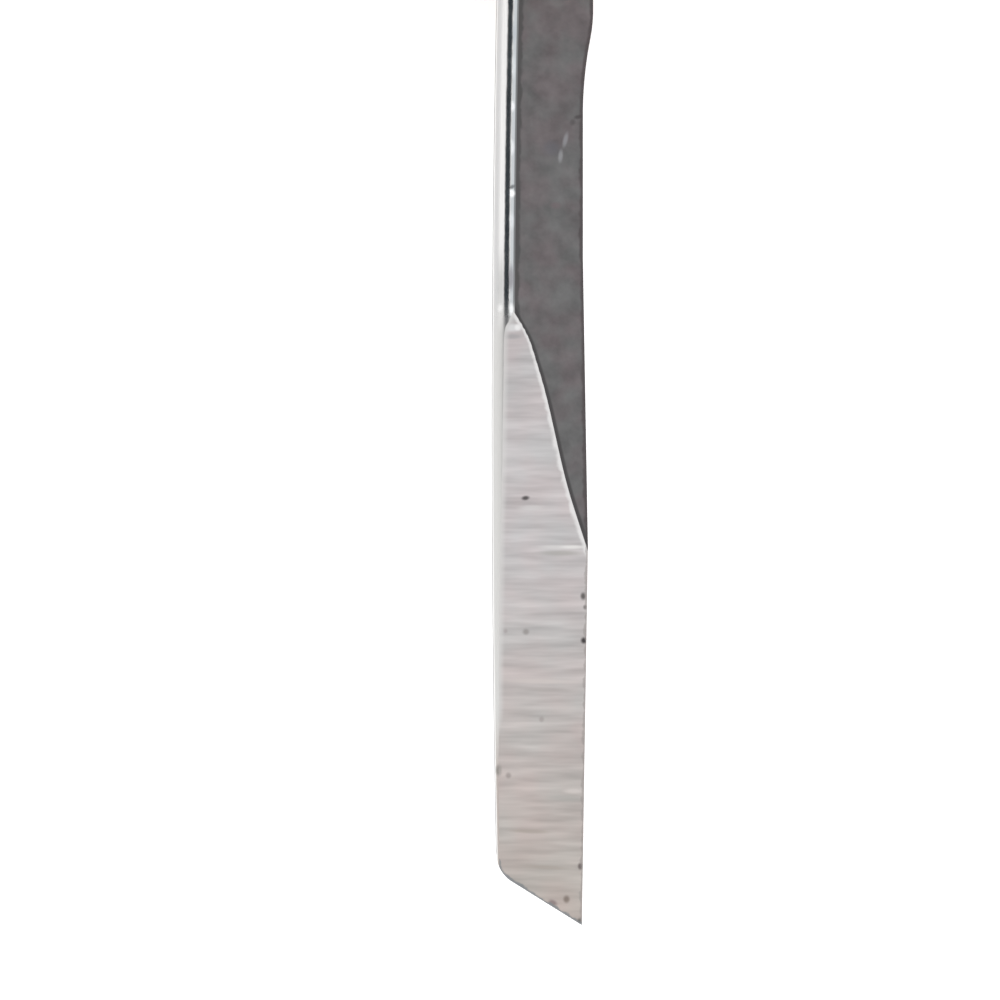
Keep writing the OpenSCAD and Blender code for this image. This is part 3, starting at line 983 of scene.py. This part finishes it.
# Turned brass: close lines from the lathe run round it, and handling has dulled it in soft patches
turned_brass, tree, surface = new_material("turned_brass")
place = add_node(tree, "ShaderNodeTexCoord").outputs["Object"]
lathe_at = add_node(
    tree, "ShaderNodeMapping", {"Vector": place, "Scale": (1 / (30 * MM), 1 / (0.14 * MM), 1 / (30 * MM))}
)
lathe = add_node(tree, "ShaderNodeTexNoise", {"Vector": lathe_at.outputs[0], "Scale": 1, "Detail": 3})
handling = add_node(
    tree, "ShaderNodeTexNoise", {"Vector": place, "Scale": 1 / (3.5 * MM), "Detail": 4, "Roughness": 0.6}
)
tarnish = add_node(
    tree, "ShaderNodeMapRange", {"Value": handling.outputs["Fac"], "From Min": 0.35, "From Max": 0.7}
)
brass = add_node(
    tree, "ShaderNodeMix",
    {"Factor": tarnish.outputs[0], UNDER: linear("#d9b566"), OVER: linear("#b38d4a")},
    data_type="RGBA",
)
tree.links.new(brass.outputs[MIXED], surface.inputs["Base Color"])
surface.inputs["Metallic"].default_value = 1
dull = add_node(
    tree, "ShaderNodeMapRange",
    {"Value": handling.outputs["Fac"], "From Min": 0.3, "From Max": 0.7, "To Min": 0.22, "To Max": 0.42},
)
tree.links.new(dull.outputs[0], surface.inputs["Roughness"])
turned = add_node(
    tree, "ShaderNodeBump", {"Height": lathe.outputs["Fac"], "Strength": 0.5, "Distance": 0.012 * MM}
)
tree.links.new(turned.outputs[0], surface.inputs["Normal"])

# Wall section, spun round the handle's axis
bpy.ops.object.select_all(action="DESELECT")
bpy.ops.mesh.primitive_plane_add(
    size=1, location=((bore_r + ferrule_r) / 2, (shoulder_y + barrel_y) / 2, axis_z)
)
ferrule = new_piece("ferrule_brass")
ferrule.scale = (ferrule_r - bore_r, barrel_y - shoulder_y, 1)
bpy.ops.object.transform_apply(location=True, rotation=True, scale=True)
bpy.ops.object.mode_set(mode="EDIT")
bpy.ops.mesh.select_all(action="SELECT")
bpy.ops.mesh.bisect(plane_co=(0, barrel_y - bead_w, axis_z), plane_no=(0, 1, 0), threshold=hair)
pick(ferrule, "EDGE", lambda p: p.x > ferrule_r - hair and p.y > barrel_y - bead_w)
bpy.ops.mesh.extrude_region_move(TRANSFORM_OT_translate={"value": (bead_rise, 0, 0)})
pick(ferrule, "VERT", lambda p: p.x > ferrule_r + hair)
bpy.ops.mesh.bevel(offset=bead_round, segments=8, profile=0.5, affect="VERTICES")
pick(ferrule, "VERT", lambda p: p.y < shoulder_y + hair and p.x > ferrule_r - hair)
bpy.ops.mesh.bevel(offset=front_chamfer, segments=4, profile=0.5, affect="VERTICES")
pick(ferrule, "VERT", lambda p: p.y < shoulder_y + hair and p.x < bore_r + hair)
bpy.ops.mesh.bevel(offset=mouth_ease, segments=2, profile=0.5, affect="VERTICES")
bpy.ops.mesh.select_all(action="SELECT")
bpy.ops.mesh.dissolve_faces()
bpy.ops.mesh.delete(type="ONLY_FACE")
bpy.ops.mesh.select_all(action="SELECT")
bpy.ops.mesh.spin(steps=turned_sides, angle=2 * math.pi, center=(0, 0, axis_z), axis=(0, 1, 0))
bpy.ops.mesh.select_all(action="SELECT")
bpy.ops.mesh.remove_doubles(threshold=10 * hair)
bpy.ops.mesh.normals_make_consistent(inside=False)
bpy.ops.object.mode_set(mode="OBJECT")
bpy.ops.object.shade_smooth_by_angle(angle=math.radians(35))
ferrule.data.materials.append(turned_brass)
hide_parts("ferrule")
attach(ferrule, "root")

# Pins
# Two lengths of brass rod driven through handle and tang. Their ends are filed flush with the flats
# and the rims are eased.
rim_ease = 0.1 * MM

# Filed brass: short straight file strokes at a slant over the ends of the rod
filed_brass, tree, surface = new_material("filed_brass")
place = add_node(tree, "ShaderNodeTexCoord").outputs["Object"]
stroke_at = add_node(
    tree, "ShaderNodeMapping",
    {
        "Vector": place, "Rotation": (0, 0, math.radians(35)),
        "Scale": (1 / (2.5 * MM), 1 / (0.1 * MM), 1 / (2.5 * MM)),
    },
)
strokes = add_node(tree, "ShaderNodeTexNoise", {"Vector": stroke_at.outputs[0], "Scale": 1, "Detail": 3})
brass = add_node(
    tree, "ShaderNodeMix",
    {"Factor": strokes.outputs["Fac"], UNDER: linear("#b9934e"), OVER: linear("#dbb768")},
    data_type="RGBA",
)
tree.links.new(brass.outputs[MIXED], surface.inputs["Base Color"])
surface.inputs["Metallic"].default_value = 1
surface.inputs["Roughness"].default_value = 0.36
filed = add_node(
    tree, "ShaderNodeBump", {"Height": strokes.outputs["Fac"], "Strength": 0.6, "Distance": 0.01 * MM}
)
tree.links.new(filed.outputs[0], surface.inputs["Normal"])

for node in ("front_pin", "rear_pin"):
    pin_low, pin_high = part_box(node)
    bpy.ops.object.select_all(action="DESELECT")
    bpy.ops.mesh.primitive_cylinder_add(
        vertices=pin_sides, radius=pin_r, depth=pin_high.z - pin_low.z,
        location=(0, (pin_low.y + pin_high.y) / 2, (pin_low.z + pin_high.z) / 2),
    )
    pin = new_piece(node + "_brass")
    bpy.ops.object.transform_apply(location=True, rotation=True, scale=True)
    bpy.ops.object.mode_set(mode="EDIT")
    pick(pin, "EDGE", lambda p: p.z < pin_low.z + hair or p.z > pin_high.z - hair)
    bpy.ops.mesh.bevel(offset=rim_ease, segments=3, profile=0.5, affect="EDGES")
    bpy.ops.object.mode_set(mode="OBJECT")
    bpy.ops.object.shade_smooth_by_angle(angle=math.radians(35))
    pin.data.materials.append(filed_brass)
    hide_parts(node)
    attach(pin, "root")

# Floor
# A plain white table top under the handle's lower flat, wide enough for every view. It lies a hair below
# the flat, so that the two never share a plane.
floor_w = 6
floor_gap = 0.02 * MM
floor_glow = 0.43
bpy.ops.object.select_all(action="DESELECT")
bpy.ops.mesh.primitive_plane_add(size=floor_w, location=(0, 0, -floor_gap))
floor = new_piece("floor")

# Matt white paint, which looks white to the eye and in what the metal mirrors, and still takes the shadow
floor_paint, tree, surface = new_material("white_table_top")
surface.inputs["Base Color"].default_value = linear("#f4f4f4")
surface.inputs["Roughness"].default_value = 0.9
rays = add_node(tree, "ShaderNodeLightPath")
seen = add_node(
    tree, "ShaderNodeMath", {0: rays.outputs["Is Camera Ray"], 1: rays.outputs["Is Glossy Ray"]},
    operation="MAXIMUM",
)
seen = add_node(
    tree, "ShaderNodeMath", {0: seen.outputs[0], 1: rays.outputs["Is Transmission Ray"]},
    operation="MAXIMUM",
)
glow = add_node(tree, "ShaderNodeMath", {0: seen.outputs[0], 1: floor_glow}, operation="MULTIPLY")
surface.inputs["Emission Color"].default_value = (1, 1, 1, 1)
tree.links.new(glow.outputs[0], surface.inputs["Emission Strength"])
floor.data.materials.append(floor_paint)

# Light
# A white studio with a darker ceiling, and one softbox overhead that stands out on the side of the edge.
wall_level = 1.3
ceiling_start = 0.6
ceiling_full = 0.68
softbox_x = 0.266
softbox_y = tip_y + 0.03
softbox_h = 0.6
softbox_w = 0.968
softbox_l = 1.3
softbox_watts = 4.25
world = bpy.data.worlds.new("white_studio")
bpy.context.scene.world = world
world.use_nodes = True
tree = world.node_tree
toward = add_node(tree, "ShaderNodeTexCoord").outputs["Generated"]
height = add_node(tree, "ShaderNodeSeparateXYZ", {0: toward}).outputs["Z"]
ceiling = add_node(
    tree, "ShaderNodeMapRange",
    {"Value": height, "From Min": ceiling_start, "From Max": ceiling_full, "To Min": 0, "To Max": 1},
)
walls = add_node(
    tree, "ShaderNodeMix",
    {
        "Factor": ceiling.outputs[0],
        UNDER: (wall_level, wall_level, wall_level, 1), OVER: linear("#363d42"),
    },
    data_type="RGBA",
)
tree.links.new(walls.outputs[MIXED], tree.nodes["Background"].inputs["Color"])

bpy.ops.object.light_add(type="AREA", location=(softbox_x, softbox_y, softbox_h))
softbox = bpy.context.active_object
softbox.name = "softbox"
softbox.data.shape = "RECTANGLE"
softbox.data.size = softbox_w
softbox.data.size_y = softbox_l
softbox.data.energy = softbox_watts
softbox.visible_camera = False

# Camera
# Straight above the blade, with the tip at the foot of the picture and the neck running out at its head.
pixel = 0.0634 * MM
photo_w = 1000
photo_mid = Vector((photo_w / 2, photo_w / 2))
photo_tip = Vector((581.9, 925))
camera_h = 0.6
sensor_w = 36
bpy.ops.object.camera_add(
    location=(
        tip.x + (photo_mid.x - photo_tip.x) * pixel,
        tip.y + (photo_tip.y - photo_mid.y) * pixel,
        axis_z + camera_h,
    )
)
camera = bpy.context.active_object
camera.name = "camera"
camera.data.sensor_width = sensor_w
camera.data.lens = sensor_w * camera_h / (photo_w * pixel)
camera.data.clip_end = 20
bpy.context.scene.camera = camera
bpy.context.scene.view_settings.view_transform = "Standard"
